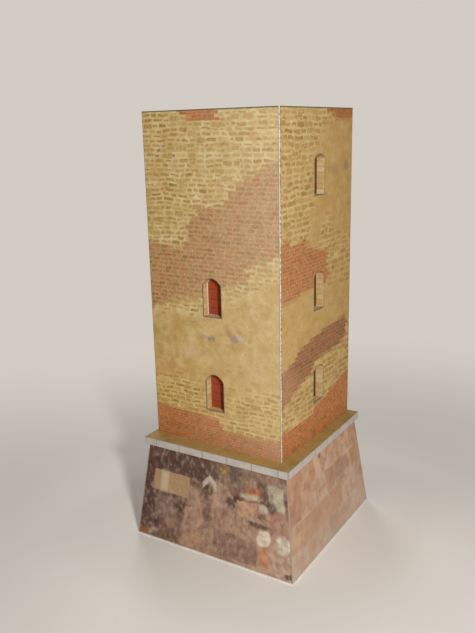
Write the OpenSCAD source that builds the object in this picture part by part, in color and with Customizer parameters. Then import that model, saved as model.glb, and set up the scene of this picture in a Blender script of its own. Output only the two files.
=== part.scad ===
// Card model of a square lighthouse tower: a battered plinth on a base card, a thin
// boxed ledge, and a tall hollow tower with recessed arched windows closed by shutters.
// The tower stands a little back, to the left and turned on its ledge, as it was glued.
// Millimetres. X runs along the front, the front faces -Y, Z is up, the origin is the
// centre of the foot.

/* [Tower] */
// width of each tower face
tower_w = 80; // [60:1:120]
// height of the tower walls above the ledge
tower_h = 174.9; // [165:0.1:260]
// how far the tower is turned clockwise on the ledge, in degrees
tower_turn = 1.5; // [0:0.1:1.5]
// thickness of the card that every piece is cut from
card_t = 0.6; // [0.3:0.05:1]

/* [Ledge] */
// how far the ledge would stand out past each face of a centred tower
ledge_over = 5; // [3.5:0.1:10]
// width of ledge that shows behind the tower
ledge_behind = 1.4; // [1.1:0.1:3]
// width of ledge that shows to the left of the tower
ledge_beside = 3.1; // [1.1:0.1:3.2]
// height of the ledge box
ledge_t = 4.3; // [2.5:0.1:8]

/* [Plinth] */
// height from the ground to the underside of the ledge
plinth_h = 54.8; // [30:0.1:90]
// how far the ledge hangs past the top of the plinth
plinth_in = 1.7; // [0.5:0.1:3]
// how far each plinth face slopes outwards from its top to its foot
batter = 6.7; // [2:0.1:15]
// how far the base card shows past the foot of the plinth
base_lip = 0.4; // [0.2:0.1:2]

/* [Windows] */
// width of each opening
open_w = 11; // [8:0.5:16]
// height of each opening at its crown
open_h = 20; // [15:0.5:26]
// rise of the arch on the front and back faces
rise_front = 3.5; // [2.5:0.1:4]
// rise of the flatter arch on the two side faces
rise_side = 2.1; // [1.5:0.1:4]
// depth from the tower face to the shutter
recess = 4.5; // [3:0.1:8]
// how far the side windows stand to the right of the middle of their face
side_shift = 1.4; // [0:0.1:3]
// sill of the lowest windows above the ledge
sill_low = 20.3; // [10:0.1:35]
// sill of the middle windows above the ledge
sill_mid = 72; // [65:0.1:90]
// sill of the top windows above the ledge
sill_top = 132; // [120:0.1:135]

/* [Hidden] */
half = tower_w / 2;
ledge_half = half + ledge_over;
plinth_top = ledge_half - plinth_in;
plinth_foot = plinth_top + batter;
z_ledge = plinth_h;
z_wall = plinth_h + ledge_t;
z_top = z_wall + tower_h;
tower_x = ledge_beside - ledge_over;
tower_y = ledge_over - ledge_behind;
// windows by level: how far right of the middle of the face, and height above the ledge
front_low = [0, sill_low];
front_mid = [0, sill_mid];
side_low = [side_shift, sill_low];
side_mid = [side_shift, sill_mid];
side_top = [side_shift, sill_top];

$fn = 64;

// which piece to build

// ---------- shared shapes ----------

// sets a tower piece, drawn about the origin, where the tower stands on the ledge
module on_ledge() { translate([tower_x, tower_y, 0]) rotate([0, 0, -tower_turn]) children(); }

// turns a piece drawn for the front face to face right, back or left
module face_right() { rotate([0, 0, 90]) children(); }
module face_back() { rotate([0, 0, 180]) children(); }
module face_left() { rotate([0, 0, -90]) children(); }

// a solid between two four-cornered faces, each listed anticlockwise seen from outside
module slab(outer, inner) {
  polyhedron(
    points = concat(outer, inner),
    faces = [
      [3, 2, 1, 0], [4, 5, 6, 7],
      [0, 1, 5, 4], [1, 2, 6, 5], [2, 3, 7, 6], [3, 0, 4, 7]
    ]
  );
}

// corners of an upright front panel: half width a at height z0, half width b at height z1
function panel(a, z0, b, z1) = [[-a, -a, z0], [a, -a, z0], [b, -b, z1], [-b, -b, z1]];

// corners of a level square of half width a at height z, listed to face up (1) or down (-1)
function level(a, z, facing) = [for (c = [[-a, -a], [a, -a], [a, a], [-a, a]]) [c[0], c[1] * facing, z]];

// one sloping side of the plinth, mitred down both corners
module plinth_side() {
  slab(
    panel(plinth_foot, card_t, plinth_top, z_ledge),
    panel(plinth_foot - card_t, card_t, plinth_top - card_t, z_ledge)
  );
}

// one edge of the ledge box, mitred to its neighbours, the top and the soffit
module ledge_side() {
  slab(
    panel(ledge_half, z_ledge, ledge_half, z_wall),
    panel(ledge_half - card_t, z_ledge + card_t, ledge_half - card_t, z_wall - card_t)
  );
}

// outline of an opening with an arched head, grown outwards by g
module arch(rise, g) {
  a = open_w / 2;
  r = (a * a + rise * rise) / (2 * rise);
  c = open_h - r;
  spring = c + sqrt((r + g) * (r + g) - (a + g) * (a + g));
  intersection() {
    translate([-a - g, -g]) square([2 * (a + g), open_h + 2 * g]);
    union() {
      translate([-a - g, -g]) square([2 * (a + g), spring + g]);
      translate([0, c]) circle(r = r + g);
    }
  }
}

// sets a flat outline upright behind the front face, from depth d0 to depth d1
module upright(place, d0, d1) {
  translate([place[0], -half + d1, z_wall + place[1]])
    rotate([90, 0, 0]) linear_extrude(height = d1 - d0) children();
}

// a wall from its plan, with its openings cut through
module wall(plan, rise, places) {
  difference() {
    translate([0, 0, z_wall]) linear_extrude(height = tower_h) polygon(plan);
    for (p = places) upright(p, -1, card_t + 1) arch(rise, 0);
  }
}

// the sleeve that lines an opening from the back of the wall to the shutter
module liner(rise, place) {
  difference() {
    upright(place, card_t, recess) arch(rise, card_t);
    upright(place, card_t - 1, recess + 1) arch(rise, 0);
  }
}

// the card shutter that closes the back of a liner
module shutter(rise, place) {
  upright(place, recess, recess + card_t) arch(rise, card_t);
}

// ---------- foot and plinth ----------

module base_card() {
  s = plinth_foot + base_lip;
  color("#e9e6e0") translate([-s, -s, 0]) cube([2 * s, 2 * s, card_t]);
}

module plinth_front() { color("#8a6f5c") plinth_side(); }
module plinth_right() { color("#a87450") face_right() plinth_side(); }
module plinth_back() { color("#8a6f5c") face_back() plinth_side(); }
module plinth_left() { color("#a87450") face_left() plinth_side(); }

// ---------- ledge ----------

// the flat card under the ledge that rests on the plinth
module ledge_soffit() {
  color("#bdb6ac") slab(level(ledge_half, z_ledge, -1), level(ledge_half - card_t, z_ledge + card_t, -1));
}

module ledge_front_edge() { color("#bdb6ac") ledge_side(); }
module ledge_right_edge() { color("#bdb6ac") face_right() ledge_side(); }
module ledge_back_edge() { color("#bdb6ac") face_back() ledge_side(); }
module ledge_left_edge() { color("#bdb6ac") face_left() ledge_side(); }

// the flat card on top of the ledge that the tower stands on
module ledge_top() {
  color("#96733c") slab(level(ledge_half, z_wall, 1), level(ledge_half - card_t, z_wall - card_t, 1));
}

// ---------- tower ----------

// plan of a wall mitred at both ends
mitred = [[-half, -half], [half, -half], [half - card_t, -half + card_t], [-half + card_t, -half + card_t]];

// the front wall runs past the near corner, so its cut edge shows beside the right wall
module wall_front() {
  color("#b08c4a") on_ledge() wall(
    [[-half, -half], [half, -half], [half, -half + card_t], [-half + card_t, -half + card_t]],
    rise_front, [front_low, front_mid]
  );
}

// the right wall butts against the front wall and folds into the back wall
module wall_right() {
  near = -half + card_t;
  plan = [[near, -half], [half, -half], [half - card_t, near], [near, near]];
  color("#a98448") on_ledge() face_right() wall(plan, rise_side, [side_low, side_mid, side_top]);
}

module wall_back() {
  color("#b08c4a") on_ledge() face_back() wall(mitred, rise_front, [front_low, front_mid]);
}

module wall_left() {
  color("#a98448") on_ledge() face_left() wall(mitred, rise_side, [side_low, side_mid, side_top]);
}

// the lid that closes the tower, flush with the tops of the walls
module tower_top() {
  b = half - card_t;
  color("#e9e6e0") on_ledge() translate([-b, -b, z_top - card_t]) cube([2 * b, 2 * b, card_t]);
}

// ---------- window liners ----------

module liner_front_low() { color("#cdb88c") on_ledge() liner(rise_front, front_low); }
module liner_front_mid() { color("#cdb88c") on_ledge() liner(rise_front, front_mid); }
module liner_right_low() { color("#cdb88c") on_ledge() face_right() liner(rise_side, side_low); }
module liner_right_mid() { color("#cdb88c") on_ledge() face_right() liner(rise_side, side_mid); }
module liner_right_top() { color("#cdb88c") on_ledge() face_right() liner(rise_side, side_top); }
module liner_back_low() { color("#cdb88c") on_ledge() face_back() liner(rise_front, front_low); }
module liner_back_mid() { color("#cdb88c") on_ledge() face_back() liner(rise_front, front_mid); }
module liner_left_low() { color("#cdb88c") on_ledge() face_left() liner(rise_side, side_low); }
module liner_left_mid() { color("#cdb88c") on_ledge() face_left() liner(rise_side, side_mid); }
module liner_left_top() { color("#cdb88c") on_ledge() face_left() liner(rise_side, side_top); }

// ---------- window shutters ----------

module shutter_front_low() { color("#a54623") on_ledge() shutter(rise_front, front_low); }
module shutter_front_mid() { color("#a54623") on_ledge() shutter(rise_front, front_mid); }
module shutter_right_low() { color("#a54623") on_ledge() face_right() shutter(rise_side, side_low); }
module shutter_right_mid() { color("#a54623") on_ledge() face_right() shutter(rise_side, side_mid); }
module shutter_right_top() { color("#a54623") on_ledge() face_right() shutter(rise_side, side_top); }
module shutter_back_low() { color("#a54623") on_ledge() face_back() shutter(rise_front, front_low); }
module shutter_back_mid() { color("#a54623") on_ledge() face_back() shutter(rise_front, front_mid); }
module shutter_left_low() { color("#a54623") on_ledge() face_left() shutter(rise_side, side_low); }
module shutter_left_mid() { color("#a54623") on_ledge() face_left() shutter(rise_side, side_mid); }
module shutter_left_top() { color("#a54623") on_ledge() face_left() shutter(rise_side, side_top); }

// ---------- pieces ----------

base_card();
plinth_front();
plinth_right();
plinth_back();
plinth_left();
ledge_soffit();
ledge_front_edge();
ledge_right_edge();
ledge_back_edge();
ledge_left_edge();
ledge_top();
wall_front();
wall_right();
wall_back();
wall_left();
tower_top();
liner_front_low();
liner_front_mid();
liner_right_low();
liner_right_mid();
liner_right_top();
liner_back_low();
liner_back_mid();
liner_left_low();
liner_left_mid();
liner_left_top();
shutter_front_low();
shutter_front_mid();
shutter_right_low();
shutter_right_mid();
shutter_right_top();
shutter_back_low();
shutter_back_mid();
shutter_left_low();
shutter_left_mid();
shutter_left_top();
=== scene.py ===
import math

import bmesh
import bpy
from mathutils import Matrix, Vector


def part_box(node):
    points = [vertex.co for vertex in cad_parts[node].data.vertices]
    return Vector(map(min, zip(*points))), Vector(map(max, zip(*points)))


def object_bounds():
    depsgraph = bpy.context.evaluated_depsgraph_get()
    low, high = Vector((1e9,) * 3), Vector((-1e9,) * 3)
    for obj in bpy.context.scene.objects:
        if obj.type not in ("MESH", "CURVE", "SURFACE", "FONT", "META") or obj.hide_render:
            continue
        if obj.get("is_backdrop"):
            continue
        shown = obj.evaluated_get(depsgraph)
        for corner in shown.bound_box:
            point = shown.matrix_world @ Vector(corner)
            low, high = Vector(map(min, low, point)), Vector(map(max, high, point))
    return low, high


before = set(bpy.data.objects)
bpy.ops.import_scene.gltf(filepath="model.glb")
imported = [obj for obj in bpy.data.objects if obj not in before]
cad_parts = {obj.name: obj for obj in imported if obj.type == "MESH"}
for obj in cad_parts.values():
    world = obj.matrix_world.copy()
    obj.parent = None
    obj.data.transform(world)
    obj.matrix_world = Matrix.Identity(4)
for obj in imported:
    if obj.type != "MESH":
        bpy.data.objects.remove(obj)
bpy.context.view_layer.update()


# ---------- base card ----------
# The model stands on a square of white card, a little wider than the plinth, that shows as a
# bright line round the foot. It is plain uncoated stock, cut with a knife and glued on.

def linear(code):
    """An sRGB hex colour as the linear colour that a shader takes."""
    parts = [int(code[i:i + 2], 16) / 255 for i in (1, 3, 5)]
    return [c / 12.92 if c <= 0.04045 else ((c + 0.055) / 1.055) ** 2.4 for c in parts] + [1.0]


def add(tree, kind, inputs=(), out=0, **settings):
    """Adds a node, sets its options, fills its inputs by place or by name, returns an output."""
    node = tree.nodes.new("ShaderNode" + kind)
    for name, value in settings.items():
        setattr(node, name, value)
    for key, value in inputs.items() if isinstance(inputs, dict) else enumerate(inputs):
        if isinstance(value, bpy.types.NodeSocket):
            tree.links.new(value, node.inputs[key])
        else:
            node.inputs[key].default_value = value
    return node.outputs[out] if node.outputs else node


def card(name, ink=None):
    """A sheet of white card. ink gives the colour of its print and where the print lies."""
    mat = bpy.data.materials.new(name)
    mat.use_nodes = True
    tree = mat.node_tree
    tree.nodes.clear()
    place = add(tree, "TexCoord", out=3)
    # Clumps of fibre are about 0.4 mm across and barely darker than the sheet.
    fibre = add(tree, "TexNoise", {"Vector": place, "Scale": 1 / 0.0004, "Detail": 3.0})
    colour = add(tree, "MixRGB", (fibre, linear("#dcd8d0"), linear("#ece9e3")))
    if ink:
        facing = add(tree, "TexCoord", out=1)
        print_colour, printed = ink(tree, place, facing)
        colour = add(tree, "MixRGB", (printed, colour, print_colour))
    # Uncoated card has a fine tooth and no gloss, and inkjet ink soaks in and leaves it matt.
    tooth = add(tree, "Bump", {"Strength": 0.25, "Distance": 0.00005, "Height": fibre})
    shader = add(tree, "BsdfPrincipled",
                 {"Base Color": colour, "Roughness": 0.8, "IOR": 1.5, "Normal": tooth})
    add(tree, "OutputMaterial", (shader,))
    return mat


def dress(mat, *nodes):
    """Gives CAD pieces their material."""
    for node in nodes:
        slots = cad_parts[node].data.materials
        slots.clear()
        slots.append(mat)


white_card = card("uncoated_white_card")
dress(white_card, "base_card")


# ---------- plinth ----------
# Four sloping sides of card folded and glued at the corners. The front and back are printed
# with dark, stained, much patched masonry, and the other two with cleaner brown ashlar.

BATTER = 6.7
PLINTH_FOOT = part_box("plinth_front")[1][0] * 1000
PLINTH_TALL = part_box("plinth_front")[1][2] * 1000
PRINT_BEYOND = 30.0


def measured(tree, place, foot=(0, 0, 0), turn=0.0):
    """A place in millimetres from a piece's own foot, turned as the piece is."""
    return add(tree, "Mapping", (place, foot, (0, 0, turn), (0.001,) * 3), vector_type="TEXTURE")


def on_face(tree, spot, facing, front):
    """Where a point is on its own face: right of the middle as seen from outside, and outwards."""
    # Which of X and Y runs along the face, which runs outwards, and what turns along rightwards.
    side, out, way = (0, 1, -1.0) if front else (1, 0, 1.0)
    normal = add(tree, "SeparateXYZ", (facing,), out)
    sign = add(tree, "Math", (normal,), operation="SIGN")
    sign = add(tree, "Math", (sign, way), operation="MULTIPLY")
    across = add(tree, "SeparateXYZ", (spot,), side)
    outward = add(tree, "SeparateXYZ", (spot,), out)
    return (add(tree, "Math", (across, sign), operation="MULTIPLY"),
            add(tree, "Math", (outward, normal), operation="MULTIPLY"))


def tints(tree, number, *codes):
    """A colour from a row of inks, by a number from 0 to 1."""
    colour = add(tree, "ValToRGB", (number,))
    ramp = colour.node.color_ramp.elements
    ramp[0].color = linear(codes[0])
    ramp[-1].color = linear(codes[-1])
    for step in range(1, len(codes) - 1):
        ramp.new(step / (len(codes) - 1)).color = linear(codes[step])
    return colour


def patch(tree, spot, at, size, soft, round_ends=False):
    """Where a patch of print lies: 1 inside a shape of this size, fading to 0 at its rim."""
    away = add(tree, "VectorMath", (spot, (*at, 0)), operation="SUBTRACT")
    away = add(tree, "VectorMath", (away, (2 / size[0], 2 / size[1], 0)), operation="MULTIPLY")
    away = add(tree, "VectorMath", (away,), operation="ABSOLUTE")
    if round_ends:
        reach = add(tree, "VectorMath", (away,), 1, operation="LENGTH")
    else:
        beside = add(tree, "SeparateXYZ", (away,), 0)
        above = add(tree, "SeparateXYZ", (away,), 1)
        reach = add(tree, "Math", (beside, above, 0.2), operation="SMOOTH_MAX")
    return add(tree, "MapRange", (reach, 1 + soft, 1 - soft), interpolation_type="SMOOTHSTEP")


def mark(tree, spot, colour, at, size, soft, ink, strength, round_ends=False):
    """Lays one patch of ink over a colour, by its middle, its size and how soft its rim is."""
    lies = patch(tree, spot, at, size, soft, round_ends)
    lies = add(tree, "Math", (lies, strength), operation="MULTIPLY")
    return add(tree, "MixRGB", (lies, colour, linear(ink)))


def stain(tree, spot, size, low=0.35, high=0.65, seed=0.0, detail=3.0):
    """Blotches about so many millimetres across, from 0 to 1."""
    moved = add(tree, "VectorMath", (spot, (seed, seed, seed)), operation="ADD")
    cloud = add(tree, "TexNoise", {"Vector": moved, "Scale": 1 / size, "Detail": detail})
    return add(tree, "MapRange", (cloud, low, high))


def wavy(tree, spot, size, reach):
    """A place shifted by up to about half of reach millimetres, so drawn edges are not ruled."""
    cloud = add(tree, "TexNoise", {"Vector": spot, "Scale": 1 / size, "Detail": 2.0}, 1)
    shift = add(tree, "VectorMath", (cloud, (0.5, 0.5, 0.5)), operation="SUBTRACT")
    return add(tree, "VectorMath", (shift, (reach, reach, 0), spot), operation="MULTIPLY_ADD")


def courses(tree, along, up, tall, long, uneven):
    """Masonry in courses. Returns how far a point is inside its block, three chance numbers
    for each block, and the block's middle, along and up."""
    level = add(tree, "Math", (up, tall), operation="DIVIDE")
    row = add(tree, "Math", (level,), operation="FLOOR")
    # Each course starts half a block on, and so far along that no two share their numbers.
    slide = add(tree, "Math", (row, 37.5), operation="MULTIPLY")
    at = add(tree, "Math", (along, 1 / long, slide), operation="MULTIPLY_ADD")
    block = {"W": at, "Scale": 1.0, "Randomness": uneven}
    chance = add(tree, "TexVoronoi", block, "Color", voronoi_dimensions="1D")
    middle = add(tree, "TexVoronoi", block, "W", voronoi_dimensions="1D")
    end = add(tree, "TexVoronoi", block, "Distance", voronoi_dimensions="1D",
              feature="DISTANCE_TO_EDGE")
    end = add(tree, "Math", (end, long), operation="MULTIPLY")
    bed = add(tree, "Math", (level, 0.5), operation="PINGPONG")
    bed = add(tree, "Math", (bed, tall), operation="MULTIPLY")
    inside = add(tree, "Math", (end, bed, 0.5), operation="SMOOTH_MIN")
    middle = add(tree, "Math", (middle, slide), operation="SUBTRACT")
    middle = add(tree, "Math", (middle, long), operation="MULTIPLY")
    height = add(tree, "Math", (row, tall, tall / 2), operation="MULTIPLY_ADD")
    return inside, chance, middle, height


def grain(tree, spot, colour, depth=0.14):
    """The fine unevenness of inkjet print, about a third of a millimetre across."""
    dots = stain(tree, spot, 0.6, 0.3, 0.7, detail=2.0)
    shade = tints(tree, dots, "#e2e0dc", "#ffffff")
    return add(tree, "MixRGB", (depth * 4, colour, shade), blend_type="MULTIPLY")


def plinth_spot(tree, place, facing, front):
    """A point on a sloping side: 0 to 100 from its left edge to its right, and its height."""
    spot = measured(tree, place)
    across, outward = on_face(tree, spot, facing, front)
    up = add(tree, "SeparateXYZ", (spot,), 2)
    half = add(tree, "Math", (up, -BATTER / PLINTH_TALL, PLINTH_FOOT), operation="MULTIPLY_ADD")
    share = add(tree, "Math", (across, half), operation="DIVIDE")
    along = add(tree, "Math", (share, 50.0, 50.0), operation="MULTIPLY_ADD")
    # Only the face that looks outwards is printed, not the cut edges or the back of the card.
    printed = add(tree, "Math", (outward, PRINT_BEYOND), operation="GREATER_THAN")
    return along, up, printed


def plinth_edges(tree, colour, along, up):
    """Pale grey-green lines where the sides are scored, folded and cut."""
    near = add(tree, "Math", (along, 50.0), operation="SUBTRACT")
    near = add(tree, "Math", (near,), operation="ABSOLUTE")
    fold = add(tree, "MapRange", (near, 49.4, 49.7, 0.0, 0.8))
    colour = add(tree, "MixRGB", (fold, colour, linear("#9d9a8a")))
    foot = add(tree, "MapRange", (up, 1.1, 0.7))
    colour = add(tree, "MixRGB", (foot, colour, linear("#a79c8c")))
    return colour


def stained_masonry(tree, place, facing):
    """Print of the plinth's front and back: sooty, damp, much repaired stone, dark at the top."""
    along, up, printed = plinth_spot(tree, place, facing, True)
    spot = add(tree, "CombineXYZ", (along, up, 3.0))
    loose = wavy(tree, wavy(tree, spot, 9.0, 4.0), 2.5, 1.8)
    # Four courses of big stones, each with its own brown.
    beside = add(tree, "SeparateXYZ", (loose,), 0)
    above = add(tree, "SeparateXYZ", (loose,), 1)
    inside, chance = courses(tree, beside, above, 13.7, 17.0, 0.8)[:2]
    own = add(tree, "SeparateXYZ", (chance,), 0)
    stone = tints(tree, own, "#c19c85", "#b28c74", "#cba890", "#a58270", "#c6a288")
    # The top and the left are soot-dark, and the dark breaks up towards the lower right.
    dark = stain(tree, loose, 14.0, 0.36, 0.64)
    rise = add(tree, "MapRange", (up, 18.0, 50.0))
    left = add(tree, "MapRange", (along, 62.0, 0.0))
    soot = add(tree, "Math", (rise, left), operation="ADD")
    soot = add(tree, "Math", (soot, dark), operation="ADD")
    soot = add(tree, "MapRange", (soot, 0.92, 1.38))
    sooty = tints(tree, stain(tree, loose, 4.0, 0.3, 0.7), "#452c2a", "#67453d", "#7f5d51", "#523431")
    colour = add(tree, "MixRGB", (soot, stone, sooty))
    # Patches of lost face, repair and lime. Places and widths across are in hundredths of the
    # side's width, and heights are in millimetres.
    for repair in (
            ((25, 48), (50, 12), 0.3, "#5f443b", 0.65, False),
            ((4, 30), (12, 34), 0.3, "#5c3c31", 0.7, False),
            ((75, 49), (56, 11), 0.4, "#806658", 0.6, False),
            ((17, 20), (14, 14), 0.2, "#93796a", 0.85, False),
            ((37, 20), (13, 11), 0.12, "#bd957c", 0.95, False),
            ((54, 21), (18, 11), 0.2, "#b08a72", 0.8, False),
            ((39, 6.5), (13, 13), 0.12, "#ba9273", 0.95, False),
            ((22, 6), (16, 11), 0.2, "#8b6750", 0.6, False),
            ((70, 20.5), (21, 12.5), 0.1, "#b8947a", 0.95, False),
            ((65, 8.5), (28, 11.5), 0.08, "#9a7866", 0.95, False),
            ((74, 32), (13, 9), 0.15, "#d0a284", 0.95, False),
            ((92, 30), (15, 14), 0.3, "#b98c76", 0.85, False),
            ((93, 9), (12, 13), 0.12, "#caa68e", 0.95, False),
            ((83, 9.5), (6.5, 10.5), 0.1, "#d8966f", 1.0, False),
            ((3, 2.5), (7, 5.5), 0.3, "#a8643f", 1.0, False),
            ((92.5, 42), (10, 12), 0.15, "#c6bda6", 0.95, False),
            ((78, 43.5), (10, 6), 0.4, "#b27046", 0.95, True),
            ((75, 40), (13, 4), 0.4, "#dcc6ae", 0.85, True),
            ((56, 50), (6, 6), 0.3, "#9c7c48", 0.9, False),
            ((62, 33), (6, 7), 0.3, "#5a3e38", 0.85, True),
            ((46, 25), (5, 13), 0.5, "#5e4239", 0.6, False),
            ((26, 15), (5, 18), 0.5, "#5e4138", 0.45, False),
            ((66, 15), (20, 2.5), 0.5, "#664a40", 0.45, False),
            ((88, 37), (7, 6), 0.4, "#573c34", 0.8, True),
            ((80, 25.5), (14, 3), 0.4, "#543a33", 0.8, True),
            ((84, 35), (6, 5), 0.4, "#e0cfba", 0.8, True),
            ((45, 37), (9, 6), 0.4, "#5d4037", 0.75, True),
            ((12, 2.5), (7, 3), 0.4, "#6d6152", 0.7, True),
            ((98, 3), (4, 3), 0.3, "#574438", 0.85, False),
            ((83.5, 19.5), (9, 8.5), 0.2, "#f0dac8", 1.0, True),
            ((96, 19), (9, 10), 0.2, "#e8dcc8", 1.0, True)):
        colour = mark(tree, loose, colour, *repair)
    # Fine blotching over everything, darker and lighter, as in old lime-washed stone.
    blotch = stain(tree, loose, 3.5, 0.34, 0.66, 7.0, 5.0)
    shade = tints(tree, blotch, "#8c7a72", "#e0dad4", "#ffffff")
    colour = add(tree, "MixRGB", (0.5, colour, shade), blend_type="MULTIPLY")
    # Lime has run down the wall in short pale streaks, and soot in dark ones.
    runs = add(tree, "VectorMath", (spot, (1.0, 0.7, 1.0)), operation="MULTIPLY")
    bright = stain(tree, runs, 2.6, 0.5, 0.75, 21.0, 6.0)
    bright = add(tree, "Math", (bright, 0.45), operation="MULTIPLY")
    colour = add(tree, "MixRGB", (bright, colour, linear("#d6c0ac")))
    dim = stain(tree, runs, 3.2, 0.52, 0.72, 37.0, 6.0)
    dim = add(tree, "Math", (dim, 0.4), operation="MULTIPLY")
    colour = add(tree, "MixRGB", (dim, colour, linear("#5d453e")))
    # Thin joints show between the stones that the soot leaves bare.
    joint = add(tree, "MapRange", (inside, 0.8, 0.2))
    bare = add(tree, "MapRange", (soot, 0.8, 0.1, 0.0, 0.35))
    joint = add(tree, "Math", (joint, bare), operation="MULTIPLY")
    colour = add(tree, "MixRGB", (joint, colour, linear("#a08b78")))
    # A slab of smooth buff stone is let into the upper left, with a paler band down it.
    slab = patch(tree, wavy(tree, spot, 6.0, 0.8), (20, 35.3), (26.5, 12), 0.05)
    buff = tints(tree, stain(tree, spot, 4.0), "#b8946e", "#ad8c66", "#bd9c78")
    colour = add(tree, "MixRGB", (slab, colour, buff))
    band = patch(tree, spot, (14.8, 35.3), (5.5, 11.6), 0.35)
    colour = add(tree, "MixRGB", (band, colour, linear("#cbb497")))
    # A pale chevron of bare stone, right of the slab. Its point is 47.5 hundredths of the way
    # across and 45.8 mm up, and its arms fall almost as fast as they spread.
    rough = wavy(tree, spot, 2.5, 2.0)
    side = add(tree, "SeparateXYZ", (rough,), 0)
    side = add(tree, "Math", (side, 47.5), operation="SUBTRACT")
    side = add(tree, "Math", (side,), operation="ABSOLUTE")
    rough_up = add(tree, "SeparateXYZ", (rough,), 1)
    roof = add(tree, "Math", (side, -0.95, 45.8), operation="MULTIPLY_ADD")
    below = add(tree, "Math", (roof, rough_up), operation="SUBTRACT")
    inside_top = add(tree, "MapRange", (below, -0.5, 0.5))
    inside_low = add(tree, "MapRange", (below, 4.3, 3.2))
    reach = add(tree, "MapRange", (side, 5.8, 4.2))
    chevron = add(tree, "Math", (inside_top, inside_low), operation="MULTIPLY")
    chevron = add(tree, "Math", (chevron, reach), operation="MULTIPLY")
    colour = add(tree, "MixRGB", (chevron, colour, linear("#c4b6a8")))
    colour = plinth_edges(tree, grain(tree, spot, colour), along, up)
    return colour, printed


def brown_ashlar(tree, place, facing):
    """Print of the plinth's sides: warm brown squared stone, cleaner and paler towards the foot."""
    along, up, printed = plinth_spot(tree, place, facing, False)
    spot = add(tree, "CombineXYZ", (along, up, 8.0))
    loose = wavy(tree, spot, 4.0, 1.6)
    beside = add(tree, "SeparateXYZ", (loose,), 0)
    above = add(tree, "SeparateXYZ", (loose,), 1)
    inside, chance = courses(tree, beside, above, 13.6, 16.0, 0.6)[:2]
    own = add(tree, "SeparateXYZ", (chance,), 0)
    colour = tints(tree, own, "#c89e80", "#b98660", "#d8b8a2", "#ae7c5a", "#ceb09a")
    for repair in (
            ((23, 47), (10, 11), 0.2, "#c8a98c", 0.9, False),
            ((71, 34.5), (22, 9.5), 0.15, "#a98a78", 0.9, False),
            ((71, 29.6), (22, 2.2), 0.4, "#c2a791", 0.8, False),
            ((90, 35), (10, 10), 0.2, "#b88c60", 0.9, False),
            ((10, 19.5), (16, 6), 0.3, "#cf9c74", 0.9, False),
            ((16.5, 7.5), (5.5, 9), 0.3, "#c8b3a0", 0.8, False),
            ((33, 7.5), (7, 5.5), 0.3, "#b89c8a", 0.7, False),
            ((43, 51.5), (4, 2.5), 0.5, "#8a6244", 0.8, True),
            ((10, 29), (7, 2), 0.5, "#8f6c50", 0.7, True),
            ((97, 22), (4, 8), 0.4, "#8f6a4a", 0.6, True)):
        colour = mark(tree, loose, colour, *repair)
    blotch = stain(tree, loose, 7.0, 0.34, 0.66, 4.0, 5.0)
    shade = tints(tree, blotch, "#dccfc4", "#fff8f0", "#ffffff")
    colour = add(tree, "MixRGB", (0.8, colour, shade), blend_type="MULTIPLY")
    joint = add(tree, "MapRange", (inside, 1.0, 0.2, 0.0, 0.45))
    worn = stain(tree, spot, 14.0, 0.4, 0.6, 61.0)
    joint = add(tree, "Math", (joint, worn), operation="MULTIPLY")
    colour = add(tree, "MixRGB", (joint, colour, linear("#d0b8a0")))
    streak = add(tree, "VectorMath", (spot, (1.0, 0.3, 1.0)), operation="MULTIPLY")
    streak = stain(tree, streak, 3.0, 0.5, 0.7, 13.0, 4.0)
    streak = add(tree, "Math", (streak, 0.2), operation="MULTIPLY")
    colour = add(tree, "MixRGB", (streak, colour, linear("#d8c4b0")))
    rust = stain(tree, loose, 6.0, 0.5, 0.68, 29.0, 4.0)
    rust = add(tree, "Math", (rust, 0.7), operation="MULTIPLY")
    colour = add(tree, "MixRGB", (rust, colour, linear("#b47a4e")))
    washed = add(tree, "MapRange", (up, 40.0, 2.0, 0.05, 0.45))
    colour = add(tree, "MixRGB", (washed, colour, linear("#cfc0b2")))
    colour = plinth_edges(tree, grain(tree, spot, colour), along, up)
    return colour, printed


dress(card("card_printed_stained_masonry", stained_masonry), "plinth_front", "plinth_back")
dress(card("card_printed_brown_ashlar", brown_ashlar), "plinth_right", "plinth_left")


# ---------- ledge ----------
# A flat box of folded card. Its edges are printed as pale dressed stone with thin upright
# joints, its top as worn ochre paving, and its underside is bare card.

LEDGE_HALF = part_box("ledge_top")[1][0] * 1000
LEDGE_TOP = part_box("ledge_top")[1][2] * 1000
COPING_LONG = 15.3


def coping(front):
    """The print of the ledge's edges, whose first joint is at its own place on each pair."""
    def ink(tree, place, facing):
        spot = measured(tree, place)
        across, outward = on_face(tree, spot, facing, front)
        along = add(tree, "Math", (across, LEDGE_HALF), operation="ADD")
        up = add(tree, "SeparateXYZ", (spot,), 2)
        flat = add(tree, "CombineXYZ", (along, up, 1.0))
        colour = tints(tree, stain(tree, flat, 6.0), "#b8b0a8", "#c4bcb4", "#bdb7ae")
        first = 7.7 if front else 0.7
        from_joint = add(tree, "Math", (along, first), operation="SUBTRACT")
        # This is 0 at each joint and greatest midway between two.
        from_joint = add(tree, "Math", (from_joint, COPING_LONG / 2), operation="PINGPONG")
        joint = add(tree, "MapRange", (from_joint, 0.45, 0.15, 0.0, 0.75))
        colour = add(tree, "MixRGB", (joint, colour, linear("#8e8a84")))
        top_line = add(tree, "MapRange", (up, LEDGE_TOP - 0.55, LEDGE_TOP - 0.25, 0.0, 0.8))
        colour = add(tree, "MixRGB", (top_line, colour, linear("#7d8072")))
        edge = add(tree, "Math", (across,), operation="ABSOLUTE")
        end_line = add(tree, "MapRange", (edge, LEDGE_HALF - 0.5, LEDGE_HALF - 0.2, 0.0, 0.7))
        colour = add(tree, "MixRGB", (end_line, colour, linear("#8a8c80")))
        printed = add(tree, "Math", (outward, LEDGE_HALF - 0.1), operation="GREATER_THAN")
        return grain(tree, flat, colour, 0.08), printed
    return ink


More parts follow.
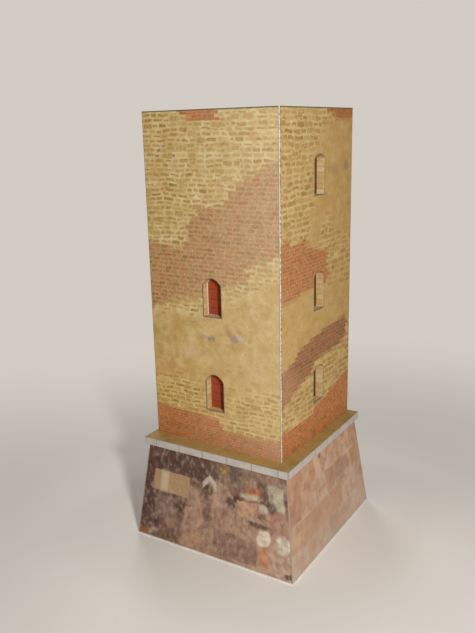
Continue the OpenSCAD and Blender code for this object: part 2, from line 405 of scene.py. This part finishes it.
def worn_paving(tree, place, facing):
    """Print of the ledge's top: dull ochre stone, trodden smooth, with mossy patches."""
    spot = measured(tree, place)
    cloud = stain(tree, spot, 4.0, 0.34, 0.66, 2.0, 4.0)
    colour = tints(tree, cloud, "#ae8b4e", "#ba985b", "#b1924f", "#c1a069")
    mossy = stain(tree, spot, 9.0, 0.5, 0.7, 11.0)
    mossy = add(tree, "Math", (mossy, 0.5), operation="MULTIPLY")
    colour = add(tree, "MixRGB", (mossy, colour, linear("#95803d")))
    up = add(tree, "SeparateXYZ", (facing,), 2)
    printed = add(tree, "Math", (up, 0.9), operation="GREATER_THAN")
    return grain(tree, spot, colour), printed


dress(card("card_printed_coping_front", coping(True)), "ledge_front_edge", "ledge_back_edge")
dress(card("card_printed_coping_side", coping(False)), "ledge_right_edge", "ledge_left_edge")
dress(card("card_printed_worn_paving", worn_paving), "ledge_top")
dress(white_card, "ledge_soffit")


# ---------- tower walls ----------
# Four walls of printed card round a hollow tower, glued to the ledge a little back, to the left
# and turned. The print is coursed rubble with smooth render and repairs in four kinds of brick.

lid_low, lid_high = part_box("tower_top")
TOWER_FOOT = ((lid_low[0] + lid_high[0]) / 2, (lid_low[1] + lid_high[1]) / 2, LEDGE_TOP / 1000)
TOWER_TURN = math.radians(-1.5)
TOWER_HALF = 40.0
TOWER_TALL = lid_high[2] * 1000 - LEDGE_TOP
OPEN_HALF = 5.5
OPEN_TALL = 20.0
SILLS = (20.3, 72.0, 132.0)
RISE_FRONT = 3.5
RISE_SIDE = 2.1
SIDE_SHIFT = 1.4
MID_LEVEL_FROM = 50.0
TOP_LEVEL_FROM = 110.0


def drawn_edge(tree, along, *corners):
    """How high a drawn edge runs at a place along a wall, from its corners in millimetres."""
    reach = 2 * TOWER_HALF
    # The curve runs from 0 to 1, and 1 stands for this many millimetres.
    full = 200.0
    share = add(tree, "Math", (along, reach), operation="DIVIDE")
    height = add(tree, "FloatCurve", (1.0, share))
    line = height.node.mapping.curves[0]
    line.points[0].location = (0.0, corners[0][1] / full)
    line.points[1].location = (1.0, corners[-1][1] / full)
    for x, y in corners[1:-1]:
        line.points.new(x / reach, y / full)
    for point in line.points:
        point.handle_type = "VECTOR"
    height.node.mapping.update()
    return add(tree, "Math", (height, full), operation="MULTIPLY")


def over(tree, up, edge, soft=0.7):
    """1 above a drawn edge, 0 below it."""
    rise = add(tree, "Math", (up, edge), operation="SUBTRACT")
    return add(tree, "MapRange", (rise, -soft, soft))


def below(tree, up, edge, soft=0.7):
    """1 below a drawn edge, 0 above it."""
    return add(tree, "Math", (1.0, over(tree, up, edge, soft)), operation="SUBTRACT")


def render_coat(tree, spot):
    """Smooth lime render: ochre cream, clouded with pink and olive."""
    colour = tints(tree, stain(tree, spot, 8.0, 0.33, 0.67, 2.0, 4.0),
                   "#c5a468", "#ccac71", "#d5b981", "#c9a96d")
    rosy = stain(tree, spot, 11.0, 0.5, 0.72, 31.0)
    rosy = add(tree, "Math", (rosy, 0.4), operation="MULTIPLY")
    colour = add(tree, "MixRGB", (rosy, colour, linear("#cb9d72")))
    olive = stain(tree, spot, 5.0, 0.5, 0.72, 57.0)
    olive = add(tree, "Math", (olive, 0.4), operation="MULTIPLY")
    colour = add(tree, "MixRGB", (olive, colour, linear("#b99c4c")))
    pale_stain_and_painted_light = stain(tree, spot, 6.0, 0.5, 0.72, 83.0)
    pale_stain_and_painted_light = add(tree, "Math", (pale_stain_and_painted_light, 0.55), operation="MULTIPLY")
    colour = add(tree, "MixRGB", (pale_stain_and_painted_light, colour, linear("#e4cd9e")))
    # Dabs a few millimetres across, yellow and pink, keep it from looking sprayed on.
    dabs = tints(tree, stain(tree, spot, 2.8, 0.3, 0.7, 19.0, 4.0), "#e9dfbc", "#fffdf6", "#f6e6d8")
    return add(tree, "MixRGB", (0.8, colour, dabs), blend_type="MULTIPLY")


def rubble(tree, spot, colour, cover, tall, long, rough):
    """Lays coursed rubble over a colour, as thick as cover says at each stone's middle. tall and
    long are a usual stone in millimetres, and rough is how far its outline strays."""
    loose = wavy(tree, wavy(tree, spot, 12.0, 3.6), 2.4, rough)
    along = add(tree, "SeparateXYZ", (loose,), 0)
    up = add(tree, "SeparateXYZ", (loose,), 1)
    inside, chance, middle, height = courses(tree, along, up, tall, long, 1.0)
    thick = cover(tree, middle, height)
    bed = stain(tree, spot, 5.0, 0.25, 0.6, 5.0)
    bed = add(tree, "Math", (thick, bed), operation="MULTIPLY")
    lime = tints(tree, stain(tree, spot, 6.0, 0.35, 0.65, 44.0), "#ccb37e", "#e2cf98", "#d7bf88")
    colour = add(tree, "MixRGB", (bed, colour, lime))
    own = add(tree, "SeparateXYZ", (chance,), 0)
    warm = add(tree, "SeparateXYZ", (chance,), 1)
    luck = add(tree, "SeparateXYZ", (chance,), 2)
    ochre = tints(tree, own, "#ae8536", "#916a1a", "#a47a24", "#ba9444", "#8b631c", "#ad8230")
    tan = tints(tree, own, "#b48248", "#a4723a", "#bb8c54", "#9a6c3a", "#be7826")
    drift = stain(tree, spot, 16.0, 0.42, 0.62, 71.0)
    warm = add(tree, "Math", (drift, 0.7, warm), operation="MULTIPLY_ADD")
    warm = add(tree, "MapRange", (warm, 1.05, 1.3))
    stone = add(tree, "MixRGB", (warm, ochre, tan))
    # Ink fills each stone unevenly, and some are only a thin stroke along their middle.
    rim = add(tree, "Math", (own, luck), operation="MULTIPLY")
    rim = add(tree, "Math", (rim, 0.7, 0.16), operation="MULTIPLY_ADD")
    body = add(tree, "Math", (inside, rim), operation="SUBTRACT")
    stroke = add(tree, "MapRange", (body, -0.1, 0.6), interpolation_type="SMOOTHSTEP")
    dabs = add(tree, "VectorMath", (spot, (0.5, 1.1, 1.0)), operation="MULTIPLY")
    wash = stain(tree, dabs, 1.0, 0.32, 0.6, 12.0)
    wash = add(tree, "MapRange", (wash, 0.0, 1.0, 0.55, 1.0))
    depth = add(tree, "MapRange", (luck, 0.0, 0.7, 0.4, 1.0))
    shown = add(tree, "Math", (luck, thick), operation="LESS_THAN")
    stroke = add(tree, "Math", (stroke, shown), operation="MULTIPLY")
    wash = add(tree, "Math", (depth, wash), operation="MULTIPLY")
    stroke = add(tree, "Math", (stroke, wash), operation="MULTIPLY")
    return add(tree, "MixRGB", (stroke, colour, stone))


def big_stones(tree, spot, colour, cover):
    """A few stones two courses high, each in its own ring of lime, scattered over the rubble."""
    loose = wavy(tree, spot, 3.0, 2.4)
    along = add(tree, "SeparateXYZ", (loose,), 0)
    up = add(tree, "SeparateXYZ", (loose,), 1)
    inside, chance, middle, height = courses(tree, along, up, 3.6, 6.4, 0.9)
    thick = cover(tree, middle, height)
    luck = add(tree, "SeparateXYZ", (chance,), 2)
    shown = add(tree, "Math", (luck, thick), operation="LESS_THAN")
    ring = add(tree, "MapRange", (inside, 0.0, 0.4))
    ring = add(tree, "Math", (shown, ring), operation="MULTIPLY")
    colour = add(tree, "MixRGB", (ring, colour, linear("#d6bf88")))
    own = add(tree, "SeparateXYZ", (chance,), 0)
    stone = tints(tree, own, "#b8924a", "#ab8436", "#bf9c5c", "#b38450", "#a87c30")
    wash = stain(tree, spot, 1.4, 0.3, 0.6, 33.0)
    wash = add(tree, "MapRange", (wash, 0.0, 1.0, 0.45, 0.9))
    body = add(tree, "MapRange", (inside, 0.35, 0.9), interpolation_type="SMOOTHSTEP")
    body = add(tree, "Math", (body, shown), operation="MULTIPLY")
    body = add(tree, "Math", (body, wash), operation="MULTIPLY")
    return add(tree, "MixRGB", (body, colour, stone))


def brickwork(tree, spot, colour, tall, long, uneven, wobble, lime, inks, within):
    """Lays a patch of brickwork over a colour, whole bricks at a time, where within says. tall
    and long are a brick in millimetres, and wobble is how far its outline strays."""
    loose = wavy(tree, spot, 2.0, wobble)
    along = add(tree, "SeparateXYZ", (loose,), 0)
    up = add(tree, "SeparateXYZ", (loose,), 1)
    inside, chance, middle, height = courses(tree, along, up, tall, long, uneven)
    lies = within(tree, middle, height)
    own = add(tree, "SeparateXYZ", (chance,), 0)
    luck = add(tree, "SeparateXYZ", (chance,), 1)
    brick = tints(tree, own, *inks)
    stroke = add(tree, "MapRange", (inside, tall * 0.05, tall * 0.3), interpolation_type="SMOOTHSTEP")
    wash = stain(tree, spot, 1.3, 0.3, 0.65, 12.0)
    wash = add(tree, "MapRange", (wash, 0.0, 1.0, 0.5, 1.0))
    depth = add(tree, "MapRange", (luck, 0.0, 1.0, 0.4, 1.0))
    stroke = add(tree, "Math", (stroke, depth), operation="MULTIPLY")
    stroke = add(tree, "Math", (stroke, wash), operation="MULTIPLY")
    face = add(tree, "MixRGB", (stroke, linear(lime), brick))
    cloud = tints(tree, stain(tree, spot, 5.0, 0.35, 0.65, 91.0), "#ebe0cc", "#fffdf8", "#ffe6d2")
    face = add(tree, "MixRGB", (0.9, face, cloud), blend_type="MULTIPLY")
    speck = tints(tree, stain(tree, spot, 0.9, 0.34, 0.66, 65.0, 2.0), "#d4c8b8", "#ffffff")
    face = add(tree, "MixRGB", (0.7, face, speck), blend_type="MULTIPLY")
    return add(tree, "MixRGB", (lies, colour, face))


# Each kind of brick has the colour of its lime, then the inks of its bricks.
RED_BRICK = ("#cd935c", ("#b96b36", "#b06030", "#c67a42", "#a65c30", "#bf753c"))
ROSE_BRICK = ("#ceab7c", ("#a8743c", "#b4824e", "#9a6c38", "#b07a52", "#b67c34", "#a07248", "#b88c50"))
ORANGE_BRICK = ("#d2a176", ("#c07c42", "#b7703c", "#c8874e", "#ae7344", "#c38240"))
MAUVE_BRICK = ("#bb906e", ("#986648", "#a27056", "#8a5e46", "#ab7a50", "#926646"))


def wall_lines(tree, along, up, colour, middle, rise, sills):
    """The thin dark lines drawn along the top, down both folds and round the openings."""
    top = add(tree, "MapRange", (up, TOWER_TALL - 0.75, TOWER_TALL - 0.4, 0.0, 0.9))
    colour = add(tree, "MixRGB", (top, colour, linear("#55513a")))
    from_middle = add(tree, "Math", (along, TOWER_HALF), operation="SUBTRACT")
    from_middle = add(tree, "Math", (from_middle,), operation="ABSOLUTE")
    fold = add(tree, "MapRange", (from_middle, TOWER_HALF - 0.5, TOWER_HALF - 0.3, 0.0, 0.55))
    colour = add(tree, "MixRGB", (fold, colour, linear("#6e6443")))
    aside = add(tree, "Math", (along, middle), operation="SUBTRACT")
    beside = add(tree, "Math", (aside,), operation="ABSOLUTE")
    past = add(tree, "Math", (beside, OPEN_HALF), operation="SUBTRACT")
    share = add(tree, "Math", (aside, OPEN_HALF), operation="DIVIDE")
    drop = add(tree, "Math", (share, share), operation="MULTIPLY")
    for sill in sills:
        crown = add(tree, "Math", (drop, -rise, sill + OPEN_TALL), operation="MULTIPLY_ADD")
        above = add(tree, "Math", (up, crown), operation="SUBTRACT")
        below = add(tree, "Math", (sill, up), operation="SUBTRACT")
        beyond = add(tree, "Math", (past, above), operation="MAXIMUM")
        beyond = add(tree, "Math", (beyond, below), operation="MAXIMUM")
        line = add(tree, "MapRange", (beyond, 0.6, 0.3, 0.0, 0.85))
        colour = add(tree, "MixRGB", (line, colour, linear("#5c5f49")))
    return colour


def wall_card(front, middle, rise, sills, laid):
    """Print of a pair of walls. laid builds the picture, and the rest is the same on both."""
    def ink(tree, place, facing):
        spot = measured(tree, place, TOWER_FOOT, TOWER_TURN)
        across, outward = on_face(tree, spot, facing, front)
        along = add(tree, "Math", (across, TOWER_HALF), operation="ADD")
        up = add(tree, "SeparateXYZ", (spot,), 2)
        flat = add(tree, "CombineXYZ", (along, up, 5.0 if front else 50.0))
        colour = laid(tree, flat, along, up)
        colour = wall_lines(tree, along, up, grain(tree, flat, colour), middle, rise, sills)
        printed = add(tree, "Math", (outward, TOWER_HALF - 0.3), operation="GREATER_THAN")
        # The print of a side wall stops short of its left corner in a ragged white line,
        # with flecks of dark ink where the outline was cut through.
        if not front:
            ragged = add(tree, "TexNoise", {"Vector": flat, "Scale": 1 / 1.2, "Detail": 2.0})
            rim = add(tree, "Math", (ragged, 0.9, 0.7), operation="MULTIPLY_ADD")
            inked = add(tree, "Math", (along, rim), operation="GREATER_THAN")
            fleck = stain(tree, flat, 0.9, 0.48, 0.54, 15.0, 1.0)
            near = add(tree, "MapRange", (along, 1.7, 1.4))
            fleck = add(tree, "Math", (fleck, near), operation="MULTIPLY")
            colour = add(tree, "MixRGB", (fleck, colour, linear("#5b5745")))
            inked = add(tree, "Math", (inked, fleck), operation="MAXIMUM")
            printed = add(tree, "Math", (printed, inked), operation="MULTIPLY")
        # The cut edges inside the openings were touched in with the colour of the wall.
        aside = add(tree, "Math", (across,), operation="ABSOLUTE")
        opening = add(tree, "Math", (aside, OPEN_HALF + 2.0), operation="LESS_THAN")
        edge = add(tree, "Math", (outward,), operation="ABSOLUTE")
        edge = add(tree, "Math", (edge, TOWER_HALF / 2), operation="LESS_THAN")
        touched = add(tree, "Math", (opening, edge), operation="MULTIPLY")
        touched = add(tree, "Math", (touched, 0.85), operation="MULTIPLY")
        return colour, add(tree, "Math", (printed, touched), operation="MAXIMUM")
    return ink


def front_picture(tree, spot, along, up):
    """Front and back: golden rubble and smooth render, a rose brick repair, red brick at the foot."""
    def stones(tree, x, y):
        low = drawn_edge(tree, x, (0, 34), (30, 36), (46, 31), (80, 38))
        high = drawn_edge(tree, x, (0, 71), (32, 72), (48, 78), (64, 87), (80, 96))
        under = below(tree, y, low, 4.0)
        return add(tree, "Math", (under, over(tree, y, high, 3.0)), operation="MAXIMUM")

    def rose(tree, x, y):
        low = drawn_edge(tree, x, (0, 73), (20, 80), (34, 83), (60, 92), (62, 99), (80, 106))
        high = drawn_edge(tree, x, (0, 110), (20, 106), (26, 111), (29, 121), (34, 127), (48, 129),
                          (54, 137), (64, 144), (80, 151))
        under = below(tree, y, high)
        return add(tree, "Math", (under, over(tree, y, low)), operation="MULTIPLY")

    def red(tree, x, y):
        foot = drawn_edge(tree, x, (0, 18), (32, 16.4), (43, 15.3), (45, 10.1), (72, 10.1), (80, 12.4))
        head = drawn_edge(tree, x, (0, 190), (21, 190), (22, 173), (29, 172), (30, 169.6), (47, 169.6),
                          (48, 190), (80, 190))
        under = below(tree, y, foot)
        return add(tree, "Math", (under, over(tree, y, head)), operation="MAXIMUM")

    def few(tree, x, y):
        return add(tree, "Math", (stones(tree, x, y), 0.16), operation="MULTIPLY")

    colour = rubble(tree, spot, render_coat(tree, spot), stones, 2.45, 5.4, 1.0)
    colour = big_stones(tree, spot, colour, few)
    golden = stain(tree, spot, 8.0, 0.45, 0.68, 27.0)
    golden = add(tree, "Math", (golden, 0.4), operation="MULTIPLY")
    colour = add(tree, "MixRGB", (golden, colour, linear("#b88f3a")))
    # The foot of the print is yellower.
    low = add(tree, "MapRange", (up, 52.0, 26.0))
    colour = add(tree, "MixRGB", (low, colour, linear("#fff7db")), blend_type="MULTIPLY")
    colour = brickwork(tree, spot, colour, 2.2, 4.6, 1.0, 1.6, *ROSE_BRICK, rose)
    colour = brickwork(tree, spot, colour, 1.5, 3.8, 0.8, 0.6, *RED_BRICK, red)
    # Painted light: the print is made a little paler towards its right side, where more light falls.
    pale_stain_and_painted_light = add(tree, "MapRange", (along, 10.0, 80.0, 0.0, 0.2))
    colour = add(tree, "MixRGB", (pale_stain_and_painted_light, colour, linear("#e8dcc2")))
    loose = wavy(tree, spot, 2.0, 2.0)
    for blot in (
            ((23, 51), (11, 7), 0.6, "#dcc097", 0.5),
            ((64, 44), (9, 7), 0.6, "#d9bb92", 0.45),
            ((35, 62.5), (3.5, 2.5), 0.5, "#d5bd9c", 0.8),
            ((39, 60.5), (5, 3), 0.5, "#8f8272", 0.75),
            ((34, 61), (4, 2.2), 0.6, "#a88f78", 0.6),
            ((50, 64.5), (4, 3.5), 0.6, "#b5805a", 0.7),
            ((53, 62), (6, 4), 0.5, "#a3877a", 0.75),
            ((57, 62.5), (4, 3), 0.5, "#cdbcab", 0.7),
            ((56, 66), (3, 2.5), 0.5, "#b98a55", 0.6)):
        colour = mark(tree, loose, colour, *blot, round_ends=True)
    return colour


def side_picture(tree, spot, along, up):
    """The sides: rubble and render darkened by painted shade towards their right, with orange, mauve and
    red brick repairs.
    """
    def stones(tree, x, y):
        low = drawn_edge(tree, x, (0, 27), (16, 36), (38, 45), (50, 57), (80, 57))
        mid = drawn_edge(tree, x, (0, 190), (34, 190), (36, 84), (80, 84))
        mid_top = drawn_edge(tree, x, (0, 0), (34, 0), (36, 100), (48, 121), (56, 117), (64, 110),
                             (80, 101))
        high = drawn_edge(tree, x, (0, 112), (16, 108), (32, 106), (34, 129), (36, 155), (48, 165),
                          (57, 169), (58, 190), (80, 190))
        under = below(tree, y, low, 2.0)
        above_mid = over(tree, y, mid, 6.0)
        under_mid = below(tree, y, mid_top, 4.0)
        between = add(tree, "Math", (above_mid, under_mid), operation="MULTIPLY")
        first = add(tree, "Math", (under, between), operation="MAXIMUM")
        first = add(tree, "Math", (first, 0.92), operation="MULTIPLY")
        return add(tree, "Math", (first, over(tree, y, high, 2.0)), operation="MAXIMUM")

    def orange(tree, x, y):
        low = drawn_edge(tree, x, (0, 82), (18, 82), (19, 84.4), (51, 84.4), (52, 190), (80, 190))
        high = drawn_edge(tree, x, (0, 112), (8, 113), (16, 108.4), (24, 112), (32, 106), (40, 104),
                          (50, 101), (80, 80))
        under = below(tree, y, high)
        return add(tree, "Math", (under, over(tree, y, low)), operation="MULTIPLY")

    def mauve(tree, x, y):
        low = drawn_edge(tree, x, (0, 27.3), (8, 29.6), (16, 34.1), (32, 38.7), (38, 44.4), (64, 45.6),
                         (76, 49), (77, 190), (80, 190))
        high = drawn_edge(tree, x, (0, 46.7), (8, 48.4), (16, 51.3), (20, 54.7), (32, 57), (48, 59.3),
                          (64, 60.4), (80, 62))
        under = below(tree, y, high)
        return add(tree, "Math", (under, over(tree, y, low)), operation="MULTIPLY")

    def red(tree, x, y):
        foot = drawn_edge(tree, x, (0, 15.9), (12, 14.7), (24, 13.6), (34, 14.7), (36, 18.1), (48, 18.7),
                          (56, 21.6), (68, 25), (80, 27.3))
        head = drawn_edge(tree, x, (0, 190), (47, 190), (48, 172.4), (57, 172.4), (58, 169), (80, 169))
        under = below(tree, y, foot)
        return add(tree, "Math", (under, over(tree, y, head)), operation="MAXIMUM")

    def few(tree, x, y):
        return add(tree, "Math", (stones(tree, x, y), 0.2), operation="MULTIPLY")

    # The render is more even here than on the front.
    coat = add(tree, "MixRGB", (0.4, render_coat(tree, spot), linear("#c9a86e")))
    colour = rubble(tree, spot, coat, stones, 3.0, 7.0, 1.8)
    colour = add(tree, "MixRGB", (0.22, colour, coat))
    colour = big_stones(tree, spot, colour, few)
    colour = brickwork(tree, spot, colour, 2.0, 4.4, 0.6, 0.6, *MAUVE_BRICK, mauve)
    colour = brickwork(tree, spot, colour, 1.8, 4.4, 0.5, 0.5, *ORANGE_BRICK, orange)
    # Painted shade: these two walls are darkened and made yellower, more so towards their right side,
    # where less light falls on them.
    painted_side_shade = add(tree, "MapRange", (along, 0.0, 80.0, 0.5, 1.0))
    colour = add(tree, "MixRGB", (painted_side_shade, colour, linear("#eee7da")), blend_type="MULTIPLY")
    colour = brickwork(tree, spot, colour, 1.6, 3.8, 0.6, 0.5, *RED_BRICK, red)
    loose = wavy(tree, spot, 2.0, 2.0)
    for blot in (
            ((59, 143.5), (7, 7), 0.5, "#a38266", 0.6),
            ((72.5, 145), (6, 5), 0.5, "#8f7a6c", 0.7),
            ((74, 139), (5, 4), 0.6, "#b88a48", 0.5),
            ((60, 136), (5, 5), 0.6, "#b98f4c", 0.4),
            ((66, 120), (5, 4), 0.6, "#b98c5c", 0.5),
            ((68, 173), (24, 8), 0.4, "#96643f", 0.4),
            ((5, 38), (24, 18), 0.6, "#c89a74", 0.35)):
        colour = mark(tree, loose, colour, *blot, round_ends=True)
    return colour


dress(card("card_printed_front_wall", wall_card(True, TOWER_HALF, RISE_FRONT, SILLS[:2],
                                                front_picture)),
      "wall_front", "wall_back")
dress(card("card_printed_side_wall", wall_card(False, TOWER_HALF + SIDE_SHIFT, RISE_SIDE, SILLS,
                                               side_picture)),
      "wall_right", "wall_left")


# ---------- window liners ----------
# A sleeve of card lines each opening, glued behind the wall. It is printed with cream and orange
# stone courses, which on the middle front and back sleeves stop short in a bare white strip.

def reveal(front):
    """Print of a liner: cream and orange courses that pass for the depth of a stone wall."""
    def ink(tree, place, facing):
        spot = measured(tree, place, TOWER_FOOT, TOWER_TURN)
        out = add(tree, "SeparateXYZ", (spot,), 1 if front else 0)
        out = add(tree, "Math", (out,), operation="ABSOLUTE")
        deep = add(tree, "Math", (TOWER_HALF, out), operation="SUBTRACT")
        up = add(tree, "SeparateXYZ", (spot,), 2)
        flat = add(tree, "CombineXYZ", (deep, up, 9.0))
        loose = wavy(tree, flat, 2.5, 1.0)
        height = add(tree, "SeparateXYZ", (loose,), 1)
        inside, chance = courses(tree, deep, height, 2.8, 9.0, 0.8)[:2]
        own = add(tree, "SeparateXYZ", (chance,), 0)
        colour = tints(tree, own, "#cdb07a", "#c69a60", "#d3bb8a", "#c9a468", "#d6c298")
        joint = add(tree, "MapRange", (inside, 0.45, 0.15, 0.0, 0.6))
        colour = add(tree, "MixRGB", (joint, colour, linear("#b98f5a")))
        # How deep the print goes. The shutter is 4.5 mm deep, so all but the middle front and
        # back sleeves are printed right up to it.
        end = 3.9 if front else 6.0
        lower = add(tree, "Math", (up, MID_LEVEL_FROM), operation="LESS_THAN")
        end = add(tree, "Math", (lower, 0.7, end), operation="MULTIPLY_ADD")
        printed = add(tree, "Math", (deep, end), operation="LESS_THAN")
        return grain(tree, flat, colour), printed
    return ink


liners = [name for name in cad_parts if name.startswith("liner_")]
for name, front in (("card_printed_front_reveal", True), ("card_printed_side_reveal", False)):
    ends = ("front", "back") if front else ("right", "left")
    dress(card(name, reveal(front)), *[node for node in liners if node.split("_")[1] in ends])


# ---------- window shutters ----------
# A card shutter closes the back of each liner. It is printed as boards, red in front and brown
# on the sides, with dark rails and a brown stile down the left.

def red_boards(front):
    """Print of a shutter: bright rust-red boards in front, dull brown ones on the sides."""
    def ink(tree, place, facing):
        spot = measured(tree, place, TOWER_FOOT, TOWER_TURN)
        across, outward = on_face(tree, spot, facing, front)
        along = add(tree, "Math", (across, 0.0 if front else SIDE_SHIFT), operation="SUBTRACT")
        up = add(tree, "SeparateXYZ", (spot,), 2)
        # Height above the shutter's own sill, whichever of the three levels it is on.
        upper = add(tree, "Math", (up, MID_LEVEL_FROM), operation="GREATER_THAN")
        top = add(tree, "Math", (up, TOP_LEVEL_FROM), operation="GREATER_THAN")
        height = add(tree, "Math", (up, SILLS[0]), operation="SUBTRACT")
        height = add(tree, "Math", (upper, SILLS[0] - SILLS[1], height), operation="MULTIPLY_ADD")
        height = add(tree, "Math", (top, SILLS[1] - SILLS[2], height), operation="MULTIPLY_ADD")
        flat = add(tree, "CombineXYZ", (along, up, 2.0))
        streak = add(tree, "VectorMath", (flat, (3.0, 0.4, 1.0)), operation="MULTIPLY")
        boards = ("#963915", "#a44219", "#9b3c16") if front else ("#4c3528", "#543c2c", "#483226")
        colour = tints(tree, stain(tree, streak, 2.0), *boards)
        for rail in (3.7, 8.4, 13.6):
            off = add(tree, "Math", (height, rail), operation="SUBTRACT")
            off = add(tree, "Math", (off,), operation="ABSOLUTE")
            line = add(tree, "MapRange", (off, 0.55, 0.15, 0.0, 0.55))
            colour = add(tree, "MixRGB", (line, colour, linear("#5e2410")))
        stile = add(tree, "MapRange", (along, -4.0, -4.5, 0.0, 0.8))
        colour = add(tree, "MixRGB", (stile, colour, linear("#8a5030")))
        printed = add(tree, "Math", (outward, PRINT_BEYOND), operation="GREATER_THAN")
        return grain(tree, flat, colour), printed
    return ink


shutters = [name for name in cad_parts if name.startswith("shutter_")]
for name, front in (("card_printed_front_shutter", True), ("card_printed_side_shutter", False)):
    ends = ("front", "back") if front else ("right", "left")
    dress(card(name, red_boards(front)), *[node for node in shutters if node.split("_")[1] in ends])


# ---------- lid ----------
# A square of bare white card closes the tower. It sits between the walls, level with their
# upper edges, so the four cut edges frame it.

dress(white_card, "tower_top")


# ---------- table and light ----------
# A pale table that runs into a pale wall. One small strong lamp stands off the near corner, a
# little above the tower, a wide one fills the back, a narrow one hangs over the lid, and the
# room gives a weak warm fill.

PALE = "#d2ccc4"

floor_mat = bpy.data.materials.new("pale_table")
floor_mat.use_nodes = True
tree = floor_mat.node_tree
tree.nodes.clear()
table = add(tree, "BsdfPrincipled", {"Base Color": linear("#f3f0ed"), "Roughness": 0.7})
glow = add(tree, "Emission", (linear(PALE), 1.0))
place = add(tree, "TexCoord", out=3)
reach = add(tree, "VectorMath", (place,), 1, operation="LENGTH")
# From 0.07 m out the table fades to the plain pale of the wall, which it meets at 0.42 m. The
# light path's first output holds this to what the camera sees, so it lights nothing.
far = add(tree, "MapRange", (reach, 0.07, 0.42), interpolation_type="SMOOTHSTEP")
seen = add(tree, "LightPath")
far = add(tree, "Math", (far, seen), operation="MULTIPLY")
surface = add(tree, "MixShader", (far, table, glow))
add(tree, "OutputMaterial", (surface,))

bm = bmesh.new()
bmesh.ops.create_circle(bm, cap_ends=True, segments=96, radius=4.0)
mesh = bpy.data.meshes.new("table")
bm.to_mesh(mesh)
bm.free()
table_top = bpy.data.objects.new("table", mesh)
mesh.materials.append(floor_mat)
scene = bpy.context.scene
scene.collection.objects.link(table_top)
table_top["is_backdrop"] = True

scene.world = bpy.data.worlds.new("pale_room")
scene.world.use_nodes = True
tree = scene.world.node_tree
tree.nodes.clear()
seen = add(tree, "LightPath")
fill = add(tree, "Background", (linear("#fffaf2"), 0.13))
wall = add(tree, "Background", (linear(PALE), 1.0))
room = add(tree, "MixShader", (seen, fill, wall))
add(tree, "OutputWorld", (room,))


def lamp(name, place, size, watts, colour):
    """A round soft lamp aimed at the middle of the tower."""
    data = bpy.data.lights.new(name, "AREA")
    data.shape = "DISK"
    data.size = size
    data.energy = watts
    data.color = linear(colour)[:3]
    stand = bpy.data.objects.new(name, data)
    stand.location = place
    stand.rotation_mode = "QUATERNION"
    stand.rotation_quaternion = (Vector((0, 0, 0.12)) - stand.location).to_track_quat("-Z", "Y")
    scene.collection.objects.link(stand)


lamp("main_lamp", (0.335, -0.345, 0.29), 0.05, 2.15, "#fffbf5")
lamp("back_lamp", (-0.50, 0.55, 0.17), 0.40, 2.8, "#fffbf5")

# The other two only graze the lid, and this one reaches nothing else but a little of the table.
beam = bpy.data.lights.new("lid_lamp", "SPOT")
beam.energy = 0.45
beam.spot_size = math.radians(44)
beam.spot_blend = 0.8
beam.shadow_soft_size = 0.01
hanger = bpy.data.objects.new("lid_lamp", beam)
hanger.location = (TOWER_FOOT[0], TOWER_FOOT[1], 0.394)
scene.collection.objects.link(hanger)


# ---------- camera ----------
# It stands about a third of a metre off the near corner, a little lower than the tower's top,
# looks down across the front and right faces, and is tipped slightly to one side.

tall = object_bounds()[1][2]
yaw, pitch, roll = (math.radians(angle) for angle in (-31.871, -14.718, -1.312))
ahead = Vector((math.sin(yaw) * math.cos(pitch), math.cos(yaw) * math.cos(pitch), math.sin(pitch)))
level = Vector((math.cos(yaw), -math.sin(yaw), 0))
upright = level.cross(ahead)
right = math.cos(roll) * level + math.sin(roll) * upright
top = math.cos(roll) * upright - math.sin(roll) * level
lens = bpy.data.cameras.new("camera")
lens.sensor_width = 36
lens.lens = 40.488
camera = bpy.data.objects.new("camera", lens)
spot = Vector((0.8328, -1.4111, 0.9577)) * tall
camera.matrix_world = Matrix.Translation(spot) @ Matrix((right, top, -ahead)).transposed().to_4x4()
scene.collection.objects.link(camera)
scene.camera = camera
scene.view_settings.view_transform = "Standard"
